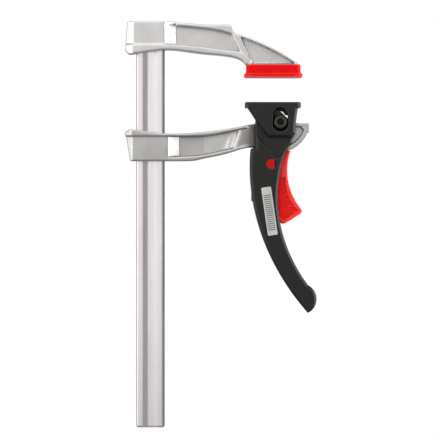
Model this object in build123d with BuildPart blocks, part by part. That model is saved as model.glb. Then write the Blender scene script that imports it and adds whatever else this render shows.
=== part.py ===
"""Quick release bar clamp with a ratcheting cam lever.

Frame: millimetres, +Z up along the rail, +X from the rail towards the jaws, +Y to the rear.
The origin is the centre of the fixed jaw's clamping face, which looks down (-Z).
The sliding arm is drawn part-way up the rail with its lever closed on the ratchet.
"""

import os
from math import cos, radians, sin

from build123d import *

# ------------------------------------------------------------------ overall sizes
throat = 80.0  # rail's inner edge to the middle of the jaws
rail_length = 296.0
rail_width = 21.0
rail_thickness = 5.0
jaw_opening = 18.4  # between the two clamping faces as drawn
jaw_height = 41.2  # top of the fixed jaw above its clamping face
jaw_length = 40.0  # clamping faces, along X
jaw_depth = 26.0  # clamping faces, along Y

# ------------------------------------------------------------------ clearances
rail_gap = 0.3  # rail to the bores that slide on it
rail_seat_gap = 0.05  # rail to the socket it is fixed in
running_gap = 0.06  # radial, round shafts in round bores
side_gap = 0.3  # plate's cheeks to the lever's
fork_gap = 0.4  # arm's head and trigger to the lever's cheeks on either side
cam_gap = 0.05  # cam to the follower face above it
pawl_gap = 0.3  # pawl tip to the tips of the ratchet teeth
cap_gap = 0.15  # cap to the foot it is pushed over

# ------------------------------------------------------------------ rail
rail_edge = 5.0  # full-thickness strip along each narrow edge
groove_slope = 3.3
groove_depth = 0.9
rail_crown = 2.2  # width of the rounding along each narrow edge
rail_crown_drop = 1.0
rail_end_chamfer = 1.2

# ------------------------------------------------------------------ castings
casting_depth = 19.0  # sleeves and flanges, along Y
rim_proud = 0.8  # rim bands stand this far out of the casting's faces
cast_round = 0.6  # on the castings' outer edges
web_thickness = 5.0
flange = 2.4  # thin flange of each arm
sleeve_outer_wall = 6.6  # beyond the rail's outer edge
sleeve_bevel = 4.6  # on the sleeve's outer corners
sleeve_slope = 8.2  # ramp from the sleeve's face down to the web
jaw_roof = 3.2  # metal above the rail's end
band_height = 3.6  # rim band along the lower edge of the fixed jaw
boss_rise_left = 0.63  # striking pad on the fixed jaw, as shares of the throat
boss_rise_right = 0.39

# ------------------------------------------------------------------ jaw cap
cap_height = 9.3
cap_face = 1.8
cap_wall = 1.3
cap_lip = 1.4
cap_lip_height = 3.0
cap_corner = 4.0
cap_edge_round = 0.5

# ------------------------------------------------------------------ pressure plate
plate_slab = 4.0
plate_inset = 2.1  # cheeks stand in from the slab's ends
plate_edge_round = 0.8
plate_cheek = 2.6
cheek_bevel = 2.0
plate_rib = 5.0  # rib under the slab between the lever's cheeks, along Y
plate_rib_half = 7.5  # along X
plate_drop = 5.0  # fall of the plate from closed to fully open
plate_cheek_height = 22.1  # below the slab
slot_below_pivot = 7.0

# ------------------------------------------------------------------ lever, pivot and cam
pivot_x = 5.2
lever_swing = 45.0  # degrees, closed to open
grip_step = 1.9  # the grip stands this far out beyond the head's cheeks
lever_spine = 3.0
core_half = 8.5  # hollows in the lower grip
core_rib = 3.0
lever_bevel = 1.8
hub_radius = 5.4
hub_height = 1.2  # out of the head's cheeks
bolt_radius = 3.0
bolt_head_radius = 4.4
bolt_head_height = 1.8
hex_socket = 5.0
hex_socket_depth = 1.5
nut_sink = 2.4
nut_height = 4.2
nut_grip = 2.0  # length of the bolt inside the nut
nut_socket_depth = 1.2
window_radius = 3.95

# ------------------------------------------------------------------ ratchet and trigger
ratchet_radius = 21.5
tooth_height = 1.6
tooth_sunk = 0.9  # tips of the teeth below the rim
ratchet_track_half = 3.2
ratchet_pitch = 4.0  # degrees
ratchet_teeth = 18
track_from = -25.0  # degrees, below level
track_to = -100.0
rim_width = 3.3
head_half = 6.7
head_boss_radius = 4.0
head_pocket_depth = 2.5
trigger_x = -1.4
trigger_drop = 30.8  # trigger pivot below the lever pivot
trigger_bevel = 0.7
trigger_recess = 0.8
spring_radius = 2.6
spring_wire = 0.8
spring_turns = 6
boss_sunk = 0.6  # trigger's bosses below the grip's faces
boss_flat = 2.4  # flat on each boss, from its centre
seat_face = -11.5  # X of the lever's seat for the spring
stub_length = 2.5
spring_pocket = 1.5  # X of the floor of the spring's pocket in the trigger

# ------------------------------------------------------------------ sleeve fittings
grip_pin_radius = 2.0
grip_pin_gap = 0.2  # pin to the rail's edge
grip_pin_front = 6.5  # blind ends, in front of the mid-plane
grip_pin_rear = 6.6
roll_pin_radius = 2.0
roll_pin_wall = 0.7
roll_pin_front = 6.5
leaf_thickness = 0.5
leaf_width = 4.4
leaf_length = 9.0
leaf_pocket = 2.1  # from the rail's edge to the floor of the spring's pocket

# ------------------------------------------------------------------ places worked out from the sizes
rail_in = -throat
rail_out = rail_in - rail_width
rail_mid = rail_in - rail_width / 2
rail_top = jaw_height - jaw_roof
rail_bottom = rail_top - rail_length
casting_half = casting_depth / 2
plate_half_depth = jaw_depth / 2
lever_head_half = plate_half_depth - plate_cheek - side_gap
lever_handle_half = lever_head_half + grip_step
lever_slot_half = head_half + fork_gap
trigger_half = head_half
hub_out = lever_head_half + hub_height
boss_out = lever_handle_half - boss_sunk
web_half = web_thickness / 2
sleeve_out = rail_out - sleeve_outer_wall
sleeve_in = rail_in + sleeve_slope
foot_half = jaw_length / 2
cam_height = plate_drop + hub_radius + side_gap  # pivot to the follower face, lever closed
pivot_z = -(jaw_opening + plate_slab + cam_height)
pivot = (pivot_x, pivot_z)
trigger_pivot = (trigger_x, pivot_z - trigger_drop)
slab_under = pivot_z + cam_height
slot_radius = hub_radius + side_gap
ratchet_tip = ratchet_radius - tooth_sunk
ratchet_root = ratchet_tip - tooth_height
rim_inside = ratchet_radius - rim_width
trigger_floor = trigger_pivot[1] - 47.6  # end of the trigger's slot in the lever
seat_z = trigger_pivot[1] - 24.0  # axis of the trigger's spring
cam_slope = plate_drop / radians(lever_swing)  # rise of the cam per radian
head_end = pivot_x + 21.3
leaf_z = pivot_z - 16.5
upper_pin = (rail_out - grip_pin_gap - grip_pin_radius, pivot_z - 8.3)
lower_pin = (rail_in + grip_pin_gap + grip_pin_radius, pivot_z - 25.5)


def across(share):
    """X at a share of the throat, from the middle of the jaws back towards the rail."""
    return -throat * share


def about_pivot(x, z):
    return (pivot_x + x, pivot_z + z)


def polar(radius, degrees_up):
    """Point at a radius and angle about the lever's pivot."""
    return about_pivot(radius * cos(radians(degrees_up)), radius * sin(radians(degrees_up)))


def write(part, name):
    part.label = name
    export_step(part, f"parts/{name}.step")


def from_both_sides(side_view, inner, outer, mode=Mode.ADD):
    """Extrudes a side view outwards, front and rear, between two distances from the mid-plane."""
    for side in (-1, 1):
        extrude(
            side_view.moved(Location((0, side * inner, 0))),
            amount=outer - inner,
            dir=(0, side, 0),
            mode=mode,
        )


def face_edges(body, out, above=-rail_length):
    """Edges of the body's flat faces, front and rear, that lie this far from the mid-plane."""
    return [
        e
        for f in body.faces().filter_by(Axis.Y)
        if abs(abs(f.center().Y) - out) < 0.01
        for e in f.edges()
        if e.center().Z > above
    ]


def cut_corners(left, half, bevel):
    """Bevels a sleeve's two outer upright corners, over its whole height."""
    for side in (-1, 1):
        with BuildSketch(mode=Mode.PRIVATE) as corner:
            with BuildLine():
                Polyline(
                    (left - bevel, side * (half - 2 * bevel)),
                    (left + 2 * bevel, side * (half + bevel)),
                    (left - bevel, side * (half + bevel)),
                    close=True,
                )
            make_face()
        extrude(corner.sketch, amount=rail_length, both=True, mode=Mode.SUBTRACT)


os.makedirs("parts", exist_ok=True)


# ================================================================== rail
ROUND = 0.5523  # a Bezier curve's reach that draws a quarter of an ellipse

with BuildPart() as rail:
    with BuildSketch(Plane.XY.offset(rail_bottom)):
        with Locations((rail_mid, 0)):
            Rectangle(rail_width, rail_thickness)
        for face in (-1, 1):
            surface = face * rail_thickness / 2
            for edge, inward in ((rail_out, 1), (rail_in, -1)):
                flat_end = edge + inward * rail_crown
                side_end = surface - face * rail_crown_drop
                with BuildLine():
                    Bezier(
                        (flat_end, surface),
                        (flat_end - inward * rail_crown * ROUND, surface),
                        (edge, side_end + face * rail_crown_drop * ROUND),
                        (edge, side_end),
                    )
                    Polyline((edge, side_end), (edge, surface), (flat_end, surface))
                make_face(mode=Mode.SUBTRACT)
            with BuildLine():
                Polyline(
                    (rail_out + rail_edge, surface),
                    (rail_out + rail_edge + groove_slope, surface - face * groove_depth),
                    (rail_in - rail_edge - groove_slope, surface - face * groove_depth),
                    (rail_in - rail_edge, surface),
                    close=True,
                )
            make_face(mode=Mode.SUBTRACT)
    extrude(amount=rail_length)
    with BuildSketch(Plane.XZ):
        for edge, inward in ((rail_out, 1), (rail_in, -1)):
            with BuildLine():
                Polyline(
                    (edge, rail_bottom),
                    (edge + inward * rail_end_chamfer, rail_bottom),
                    (edge, rail_bottom + rail_end_chamfer),
                    close=True,
                )
            make_face()
    extrude(amount=rail_thickness, both=True, mode=Mode.SUBTRACT)
    roll_pin_z = rail_top - jaw_roof - roll_pin_radius * 3
    with BuildSketch(Plane.XZ):
        with Locations((rail_mid, roll_pin_z)):
            Circle(roll_pin_radius + rail_seat_gap)
    extrude(amount=rail_thickness, both=True, mode=Mode.SUBTRACT)
write(rail.part, "rail")


# ================================================================== fixed jaw
foot_top = cap_height
neck_left = -foot_half - 0.4
jaw_low = jaw_height / 2  # underside of the arm beside the rail
boss_top = jaw_height - 2.6
flange_top = jaw_height - 0.9
jaw_tip = foot_half - 1.6

with BuildSketch(Plane.XZ) as jaw_side:
    with BuildLine():
        Polyline(
            (rail_out - 5.4, jaw_low - 3.8),
            (sleeve_out - 1.6, jaw_low - 0.8),
            (sleeve_out, jaw_height),
            (sleeve_in, jaw_height),
            (sleeve_in, flange_top),
        )
        ThreePointArc(
            (sleeve_in, flange_top),
            (across(0.77), flange_top - 0.7),
            (across(boss_rise_left), boss_top),
        )
        Polyline(
            (across(boss_rise_left), boss_top),
            (across(boss_rise_right), boss_top),
            (across(0.355), boss_top - 6.2),
        )
        ThreePointArc(
            (across(0.355), boss_top - 6.2),
            (across(0.05), jaw_height * 0.566),
            (jaw_tip, foot_top + 0.6),
        )
        Polyline((jaw_tip, foot_top + 0.6), (jaw_tip, foot_top), (neck_left, foot_top))
        Spline(
            (neck_left, foot_top),
            (neck_left - 4.4, foot_top + 3.9),
            (neck_left - 11.0, foot_top + 5.9),
            (across(0.67), jaw_low - 3.0),
            (rail_in, jaw_low - 0.4),
            (rail_mid, jaw_low - 1.5),
            (rail_out - 5.4, jaw_low - 3.8),
        )
    make_face()

with BuildSketch(Plane.XZ) as jaw_band:
    add(jaw_side.sketch)
    with BuildLine():
        Polyline(
            (sleeve_out - sleeve_bevel, jaw_low + band_height),
            (sleeve_out - sleeve_bevel, 0),
            (neck_left + 4.0, 0),
            (neck_left + 4.0, foot_top + 4.0),
            (neck_left - 1.0, foot_top + 8.0),
            (neck_left - 4.4, jaw_low - 1.9),
        )
        Spline(
            (neck_left - 4.4, jaw_low - 1.9),
            (across(0.67), jaw_low + 1.8),
            (rail_in, jaw_low + band_height),
            (rail_mid, jaw_low + band_height),
            (sleeve_out - sleeve_bevel, jaw_low + band_height),
            tangents=((-1, 0.1), (-1, 0)),
        )
    make_face(mode=Mode.INTERSECT)

with BuildSketch(Plane.XZ) as jaw_pockets:
    with BuildLine():
        Polyline(
            (rail_in, jaw_low + band_height),
            (rail_in, flange_top - flange),
            (sleeve_in, flange_top - flange),
        )
        Spline(
            (sleeve_in, flange_top - flange),
            (across(0.67), jaw_height - 4.9),
            (across(0.38), jaw_height - 9.6),
            tangents=((1, -0.04), (1, -0.42)),
        )
        Line((across(0.38), jaw_height - 9.6), (neck_left - 4.0, jaw_low - 1.9))
        Spline(
            (neck_left - 4.0, jaw_low - 1.9),
            (across(0.67), jaw_low + 1.8),
            (rail_in, jaw_low + band_height),
            tangents=((-1, 0.1), (-1, 0)),
        )
    make_face()
    with BuildLine():
        Line((neck_left + 5.0, foot_top + 0.6), (across(0.305), jaw_height - 11.4))
        ThreePointArc(
            (across(0.305), jaw_height - 11.4),
            (across(0.04), jaw_height * 0.555 - 1.6),
            (jaw_tip - 2.6, foot_top + 1.2),
        )
        Polyline(
            (jaw_tip - 2.6, foot_top + 1.2),
            (jaw_tip - 2.6, foot_top + 0.6),
            (neck_left + 5.0, foot_top + 0.6),
        )
    make_face()

with BuildPart() as jaw_recess:
    extrude(jaw_pockets.sketch, amount=casting_depth, both=True)
    with BuildSketch() as jaw_plan:
        for side in (-1, 1):
            with BuildLine():
                Polyline(
                    (rail_in - 1, side * casting_depth),
                    (rail_in - 1, side * casting_half),
                    (rail_in, side * casting_half),
                    (sleeve_in, side * web_half),
                    (jaw_length, side * web_half),
                    (jaw_length, side * casting_depth),
                    close=True,
                )
            make_face()
    extrude(amount=jaw_height * 2, mode=Mode.INTERSECT)

with BuildPart() as jaw_rim:
    extrude(jaw_band.sketch, amount=casting_half + rim_proud, both=True)
    cut_corners(sleeve_out - rim_proud, casting_half + rim_proud, sleeve_bevel)
    fillet(face_edges(jaw_rim, casting_half + rim_proud), cast_round)

with BuildPart() as fixed_jaw:
    extrude(jaw_side.sketch, amount=casting_half, both=True)
    cut_corners(sleeve_out, casting_half, sleeve_bevel)
    # the ramp beside the rail runs out through the top
    with BuildSketch(Plane.XY.offset(flange_top - flange)):
        for side in (-1, 1):
            with BuildLine():
                Polyline(
                    (rail_in, side * casting_depth),
                    (rail_in, side * casting_half),
                    (sleeve_in, side * web_half),
                    (sleeve_in, side * casting_depth),
                    close=True,
                )
            make_face()
    extrude(amount=jaw_height, mode=Mode.SUBTRACT)
    fillet(face_edges(fixed_jaw, casting_half, above=foot_top + 0.1), cast_round)
    add(jaw_recess.part, mode=Mode.SUBTRACT)
    add(jaw_rim.part)
    with BuildSketch(Plane.XY.offset(cap_face + cap_gap)):
        RectangleRounded(
            jaw_length - 2 * (cap_wall + cap_gap),
            jaw_depth - 2 * (cap_wall + cap_gap),
            cap_corner - cap_wall,
        )
    extrude(amount=foot_top - cap_face - cap_gap)
    with BuildSketch():
        with Locations((rail_mid, 0)):
            Rectangle(rail_width + 2 * rail_seat_gap, rail_thickness + 2 * rail_seat_gap)
    extrude(amount=rail_top + rail_seat_gap, mode=Mode.SUBTRACT)
    with BuildSketch(Plane.XZ.offset(-casting_depth)):
        with Locations((rail_mid, roll_pin_z)):
            Circle(roll_pin_radius + rail_seat_gap)
    extrude(amount=casting_depth + roll_pin_front, mode=Mode.SUBTRACT)
write(fixed_jaw.part, "fixed_jaw")

# A slotted roll pin, pressed in from behind, holds the jaw to the rail.
with BuildPart() as jaw_roll_pin:
    with BuildSketch(Plane.XZ.offset(-casting_half + 0.5)):
        with Locations((rail_mid, roll_pin_z)):
            Circle(roll_pin_radius)
            Circle(roll_pin_radius - roll_pin_wall, mode=Mode.SUBTRACT)
        with Locations((rail_mid, roll_pin_z + roll_pin_radius)):
            Rectangle(roll_pin_wall, 2 * roll_pin_radius, mode=Mode.SUBTRACT)
    extrude(amount=casting_half - 0.5 + roll_pin_front - 0.2)
write(jaw_roll_pin.part, "jaw_roll_pin")

# ================================================================== jaw cap
with BuildPart() as jaw_cap:
    with BuildSketch():
        RectangleRounded(jaw_length + 2 * cap_lip, jaw_depth + 2 * cap_lip, cap_corner + cap_lip)
    extrude(amount=cap_lip_height)
    fillet(jaw_cap.edges().group_by(Axis.Z)[-1], cap_lip * 0.8)
    fillet(jaw_cap.edges().group_by(Axis.Z)[0], cap_edge_round)
    with BuildSketch():
        RectangleRounded(jaw_length, jaw_depth, cap_corner)
    extrude(amount=cap_height)
    fillet(jaw_cap.edges().group_by(Axis.Z)[-1], cap_edge_round)
    with BuildSketch(Plane.XY.offset(cap_face)):
        RectangleRounded(jaw_length - 2 * cap_wall, jaw_depth - 2 * cap_wall, cap_corner - cap_wall)
    extrude(amount=cap_height, mode=Mode.SUBTRACT)
write(jaw_cap.part, "jaw_cap")

# ================================================================== sliding arm
rim_top = pivot_z - 5.1
rim_low = pivot_z - 10.3
sleeve_low = pivot_z - 28.6
flange_z = pivot_z - 0.7  # top of the head's flange
arm_out = rail_out - 7.3

with BuildSketch(Plane.XZ) as arm_side:
    with BuildLine():
        Polyline(
            (arm_out, rim_low - 1.0),
            (arm_out, rim_top - 2.0),
            (rail_out - 4.4, rim_top),
        )
        Spline(
            (rail_out - 4.4, rim_top),
            (rail_in, pivot_z - 8.3),
            (across(0.62), pivot_z - 7.0),
            (across(0.35), pivot_z - 4.0),
            (across(0.18), pivot_z - 1.3),
            (across(0.07), flange_z),
            tangents=((1, -0.12), (1, 0)),
        )
        Polyline(
            (across(0.07), flange_z),
            (head_end, flange_z),
            (head_end, pivot_z - 7.3),
            (head_end - 1.2, pivot_z - 7.8),
            polar(ratchet_radius, -23.5),
        )
        ThreePointArc(
            polar(ratchet_radius, -23.5), polar(ratchet_radius, -60), polar(ratchet_radius, -100)
        )
        Spline(
            polar(ratchet_radius, -100),
            (across(0.2), pivot_z - 18.6),
            (across(0.4), pivot_z - 22.4),
            (across(0.67), pivot_z - 27.2),
            (across(0.84), sleeve_low),
            tangents=((-0.98, -0.17), (-1, 0)),
        )
        Polyline(
            (across(0.84), sleeve_low),
            (rail_out - 4.4, sleeve_low),
            (arm_out, rim_low - 1.0),
        )
    make_face()

with BuildSketch(Plane.XZ) as arm_rim:
    with BuildLine():
        Polyline(
            (arm_out - rim_proud, rim_low),
            (arm_out - rim_proud, rim_top - 2.0),
            (rail_out - 4.4, rim_top),
        )
        Spline(
            (rail_out - 4.4, rim_top),
            (rail_in, pivot_z - 8.3),
            (across(0.62), pivot_z - 7.0),
            (across(0.35), pivot_z - 4.0),
            (across(0.25), pivot_z - 2.4),
            tangents=((1, -0.12), (1, 0.2)),
        )
        Line((across(0.25), pivot_z - 2.4), (across(0.25), pivot_z - 4.4))
        Spline(
            (across(0.25), pivot_z - 4.4),
            (across(0.4), pivot_z - 6.9),
            (across(0.56), pivot_z - 9.3),
            (rail_in, rim_low),
            tangents=((-1, -0.22), (-1, 0)),
        )
        Line((rail_in, rim_low), (arm_out - rim_proud, rim_low))
    make_face()

with BuildSketch(Plane.XZ) as arm_pocket:
    with BuildLine():
        Line((rail_in + 2.4, pivot_z - 25.6), (rail_in + 2.4, rim_low))
        Line((rail_in + 2.4, rim_low), (sleeve_in + 2.4, rim_low))
        Spline(
            (sleeve_in + 2.4, rim_low),
            (across(0.56), pivot_z - 9.3),
            (across(0.4), pivot_z - 6.9),
            (across(0.19), pivot_z - 3.5),
            tangents=((1, 0), (1, 0.15)),
        )
        Line((across(0.19), pivot_z - 3.5), (across(0.19), pivot_z - 16.3))
        Spline(
            (across(0.19), pivot_z - 16.3),
            (across(0.4), pivot_z - 19.8),
            (across(0.67), pivot_z - 24.2),
            (rail_in + 2.4, pivot_z - 25.6),
            tangents=((-1, -0.2), (-1, -0.05)),
        )
    make_face()

with BuildPart() as arm_recess:
    extrude(arm_pocket.sketch, amount=casting_depth, both=True)
    with BuildSketch(Plane.XY.offset(rail_bottom)) as arm_plan:
        for side in (-1, 1):
            with BuildLine():
                Polyline(
                    (rail_in, side * casting_depth),
                    (rail_in, side * casting_half),
                    (rail_in + 2.4, side * casting_half),
                    (sleeve_in + 2.4, side * web_half),
                    (across(0.45), side * web_half),
                    (across(0.22), side * head_half),
                    (0, side * head_half),
                    (0, side * casting_depth),
                    close=True,
                )
            make_face()
    extrude(amount=rail_length, mode=Mode.INTERSECT)

# shallow recess inside the ratchet's rim, on each face of the head
with BuildSketch(Plane.XZ) as head_pocket:
    with BuildLine():
        Polyline(
            polar(rim_inside, -90),
            about_pivot(7.3, -14.0),
            about_pivot(7.3, -3.1),
            about_pivot(15.2, -3.1),
            about_pivot(17.2, -5.6),
        )
        ThreePointArc(about_pivot(17.2, -5.6), polar(rim_inside, -50), polar(rim_inside, -90))
    make_face()

with BuildPart() as arm_band:
    extrude(arm_rim.sketch, amount=casting_half + rim_proud, both=True)
    cut_corners(arm_out - rim_proud, casting_half + rim_proud, sleeve_bevel)
    fillet(face_edges(arm_band, casting_half + rim_proud), cast_round)

with BuildPart() as sliding_arm:
    extrude(arm_side.sketch, amount=casting_half, both=True)
    cut_corners(arm_out, casting_half, sleeve_bevel)
    add(arm_recess.part, mode=Mode.SUBTRACT)
    fillet(face_edges(sliding_arm, casting_half), cast_round)
    add(arm_band.part)
    # the head is narrower, to go between the lever's cheeks
    for side in (-1, 1):
        with BuildSketch(Plane.XY.offset(rail_bottom)):
            with BuildLine():
                Polyline(
                    (across(0.26), side * (casting_half + 2)),
                    (across(0.26), side * (casting_half + rim_proud)),
                    (across(0.2), side * head_half),
                    (head_end + 1, side * head_half),
                    (head_end + 1, side * (casting_half + 2)),
                    close=True,
                )
            make_face()
        extrude(amount=rail_length, mode=Mode.SUBTRACT)
    with BuildSketch(Plane.XZ):
        with Locations(pivot):
            Circle(head_boss_radius)
    extrude(amount=head_half, both=True)
    # gap between the boss's two lugs, for the rib under the pressure plate
    with BuildSketch(Plane.XZ):
        with Locations((pivot_x, pivot_z - side_gap + head_boss_radius)):
            Rectangle(2 * head_boss_radius + 1, 2 * head_boss_radius)
    extrude(amount=plate_rib / 2 + side_gap, both=True, mode=Mode.SUBTRACT)
    from_both_sides(head_pocket.sketch, head_half - head_pocket_depth, casting_half, Mode.SUBTRACT)
    # toothed track, sunk between the rim's two smooth lips
    with BuildSketch(Plane.XZ):
        with BuildLine():
            ThreePointArc(
                polar(ratchet_root, track_from), polar(ratchet_root, -60), polar(ratchet_root, track_to)
            )
            Line(polar(ratchet_root, track_to), polar(ratchet_radius + 1, track_to))
            ThreePointArc(
                polar(ratchet_radius + 1, track_to),
                polar(ratchet_radius + 1, -60),
                polar(ratchet_radius + 1, track_from),
            )
            Line(polar(ratchet_radius + 1, track_from), polar(ratchet_root, track_from))
        make_face()
    extrude(amount=ratchet_track_half, both=True, mode=Mode.SUBTRACT)
    with BuildSketch(Plane.XZ):
        for tooth in range(ratchet_teeth):
            face = track_from - ratchet_pitch * (tooth + 0.3)
            with BuildLine():
                Polyline(
                    polar(ratchet_root - 0.3, face),
                    polar(ratchet_tip, face),
                    polar(ratchet_root - 0.3, face - ratchet_pitch * 0.95),
                    close=True,
                )
            make_face()
    extrude(amount=ratchet_track_half, both=True)
    with BuildSketch(Plane.XZ):
        with Locations(pivot):
            Circle(bolt_radius + running_gap)
    extrude(amount=casting_depth, both=True, mode=Mode.SUBTRACT)
    # bore for the rail, with the seats of the two grip pins and of the friction spring
    with BuildSketch(Plane.XY.offset(rail_bottom)):
        with Locations((rail_mid, 0)):
            Rectangle(rail_width + 2 * rail_gap, rail_thickness + 2 * rail_gap)
    extrude(amount=rail_length, mode=Mode.SUBTRACT)
    with BuildSketch(Plane.XZ.offset(-casting_depth)):
        with Locations(upper_pin, lower_pin):
            Circle(grip_pin_radius + rail_seat_gap)
    extrude(amount=casting_depth + grip_pin_front, mode=Mode.SUBTRACT)
    with BuildSketch(Plane.XZ):
        with Locations((rail_in + leaf_pocket / 2, leaf_z)):
            Rectangle(leaf_pocket, leaf_length + 1.0)
    extrude(amount=leaf_width / 2 + 0.2, both=True, mode=Mode.SUBTRACT)
write(sliding_arm.part, "sliding_arm")

# Two hardened cross pins bite on the rail's edges when the arm is loaded.
for pin_name, pin_place in (("upper_grip_pin", upper_pin), ("lower_grip_pin", lower_pin)):
    with BuildPart() as grip_pin:
        with BuildSketch(Plane.XZ.offset(-grip_pin_rear)):
            with Locations(pin_place):
                Circle(grip_pin_radius)
        extrude(amount=grip_pin_rear + grip_pin_front - 0.1)
        chamfer(grip_pin.edges(), 0.3)
    write(grip_pin.part, pin_name)

# A bowed leaf bears on the rail's inner edge, so that the arm stays where it is pushed.
leaf_touch = rail_in + cam_gap
leaf_back = rail_in + leaf_pocket - cam_gap
with BuildPart() as friction_spring:
    with BuildSketch(Plane.XZ):
        with BuildLine():
            ThreePointArc(
                (leaf_back - leaf_thickness, leaf_z + leaf_length / 2),
                (leaf_touch, leaf_z),
                (leaf_back - leaf_thickness, leaf_z - leaf_length / 2),
            )
            Line(
                (leaf_back - leaf_thickness, leaf_z - leaf_length / 2),
                (leaf_back, leaf_z - leaf_length / 2),
            )
            ThreePointArc(
                (leaf_back, leaf_z - leaf_length / 2),
                (leaf_touch + leaf_thickness, leaf_z),
                (leaf_back, leaf_z + leaf_length / 2),
            )
            Line(
                (leaf_back, leaf_z + leaf_length / 2),
                (leaf_back - leaf_thickness, leaf_z + leaf_length / 2),
            )
        make_face()
    extrude(amount=leaf_width / 2, both=True)
write(friction_spring.part, "friction_spring")

# ================================================================== lever
def cam_point(lift_angle):
    """Point on the cam that meets a level face above it when the lever is open by 90 - lift_angle."""
    lift = cam_height - cam_gap - cam_slope * radians(90 - lift_angle)
    angle = radians(lift_angle)
    return about_pivot(
        lift * cos(angle) - cam_slope * sin(angle),
        lift * sin(angle) + cam_slope * cos(angle),
    )


cheek_left = pivot_x - 18.4
cheek_right = pivot_x + 11.0
flat_end_x = 7.5
relief = cam_height - cam_gap - plate_drop  # pivot to the cam's relief flat
spine_top = pivot_z - 19.6
grip_vee = (-2.1, -25.4)  # below the pivot, where the thicker grip begins
grip_top = (cheek_left - 3.5, spine_top)
grip_swell = (cheek_left - 4.0, pivot_z - 38.9)
grip_waist = (cheek_left + 2.2, pivot_z - 75.7)
grip_knuckle = (cheek_left + 16.7, pivot_z - 109.6)
grip_toe = (cheek_left + 38.6, pivot_z - 140.4)
grip_bulb = (cheek_left + 44.9, pivot_z - 128.4)
grip_notch = (cheek_left + 38.8, pivot_z - 119.9)
grip_front = (cheek_left + 25.3, pivot_z - 96.6)
grip_throat = (cheek_left + 18.0, pivot_z - 72.5)
grip_finger = (cheek_left + 16.9, pivot_z - 46.3)
grip_neck = (cheek_right, pivot_z - 8.1)

with BuildSketch(Plane.XZ) as lever_side:
    with BuildLine():
        Spline(*[cam_point(angle) for angle in (45, 56, 67, 78, 90)])
        cam_lobe = (cam_point(90)[0] - 2.0, cam_point(90)[1])
        Polyline(
            cam_point(90),
            cam_lobe,
            (cheek_left, pivot_z + 1.5),
            (cheek_left, spine_top + 0.8),
            grip_top,
        )
        Spline(grip_top, grip_swell, grip_waist, grip_knuckle, grip_toe)
        ThreePointArc(grip_toe, grip_bulb, grip_notch)
        Spline(grip_notch, grip_front, grip_throat, grip_finger, grip_neck)
        Polyline(
            grip_neck,
            (cheek_right, pivot_z - 4.4),
            about_pivot(flat_end_x, relief * 2**0.5 - flat_end_x),
            cam_point(45),
        )
    make_face()
    lobe_corners = [
        v for v in lever_side.vertices() if v.Y > pivot_z + 3 and v.X < cam_lobe[0] + 0.1
    ]
    fillet(lobe_corners, 1.8)

# the head is narrower than the grip; they part at a V, clear of the plate's travel
with BuildSketch(Plane.XZ) as beside_head:
    with BuildLine():
        Polyline(
            about_pivot(grip_vee[0] - 40, grip_vee[1] + 42.0),
            about_pivot(*grip_vee),
            about_pivot(grip_vee[0] + 40, grip_vee[1] + 41.4),
            about_pivot(grip_vee[0] + 40, grip_vee[1] + 80),
            about_pivot(grip_vee[0] - 40, grip_vee[1] + 80),
            close=True,
        )
    make_face()

with BuildSketch(Plane.XZ) as lever_cavity:
    with BuildLine():
        Polyline(
            (grip_top[0] + lever_spine, spine_top),
            (grip_top[0] - 20, spine_top),
            (grip_top[0] - 20, pivot_z + 40),
            (pivot_x + 60, pivot_z + 40),
            (pivot_x + 60, trigger_floor),
            (grip_waist[0] + lever_spine + 3.4, trigger_floor),
        )
        ThreePointArc(
            (grip_waist[0] + lever_spine + 3.4, trigger_floor),
            (grip_swell[0] + lever_spine + 0.6, grip_swell[1] - 16),
            (grip_top[0] + lever_spine, spine_top),
        )
    make_face()

# two hollows in the lower grip, open to its front edge, with a rib between them
core_top = trigger_floor - lever_spine - 0.6
core_height = 15.5
core_back = grip_waist[0] + 16.7
with BuildSketch(Plane.XZ) as grip_cores:
    for core in (0, 1):
        core_from = core_top - core * (core_height + core_rib)
        core_left = core_back + core * 7.6
        with BuildLine():
            Polyline(
                (core_left, core_from),
                (core_left + 6.4, core_from - core_height),
                (pivot_x + 60, core_from - core_height),
                (pivot_x + 60, core_from),
                close=True,
            )
        make_face()

with BuildPart() as lever:
    extrude(lever_side.sketch, amount=lever_handle_half, both=True)
    from_both_sides(beside_head.sketch, lever_head_half, casting_depth, Mode.SUBTRACT)
    chamfer(face_edges(lever, lever_handle_half), lever_bevel)
    extrude(lever_cavity.sketch, amount=lever_slot_half, both=True, mode=Mode.SUBTRACT)
    extrude(grip_cores.sketch, amount=core_half, both=True, mode=Mode.SUBTRACT)
    # hubs that carry the pressure plate, the bolt's bore and a sunk seat for the nut
    with BuildSketch(Plane.XZ, mode=Mode.PRIVATE) as hub_side:
        with Locations(pivot):
            Circle(hub_radius)
    from_both_sides(hub_side.sketch, lever_head_half - 0.5, hub_out)
    with BuildSketch(Plane.XZ):
        with Locations(pivot):
            Circle(bolt_radius + running_gap)
    extrude(amount=casting_depth, both=True, mode=Mode.SUBTRACT)
    with BuildSketch(Plane.XZ.offset(nut_sink - hub_out)):
        with Locations(pivot):
            Circle(bolt_head_radius + running_gap)
    extrude(amount=-casting_depth, mode=Mode.SUBTRACT)
    # round windows for the trigger's bosses
    with BuildSketch(Plane.XZ):
        with Locations(trigger_pivot):
            Circle(window_radius)
    extrude(amount=casting_depth, both=True, mode=Mode.SUBTRACT)
    # seat of the trigger's spring, with a stub to keep the coil in place
    with BuildSketch(Plane.YZ.offset(grip_swell[0] + 1.0)):
        with Locations((0, seat_z)):
            Circle(spring_radius + spring_wire)
    extrude(amount=seat_face - grip_swell[0] - 1.0)
    with BuildSketch(Plane.YZ.offset(seat_face)):
        with Locations((0, seat_z)):
            Circle(spring_radius - spring_wire)
    extrude(amount=stub_length)
write(lever.part, "lever")

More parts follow.
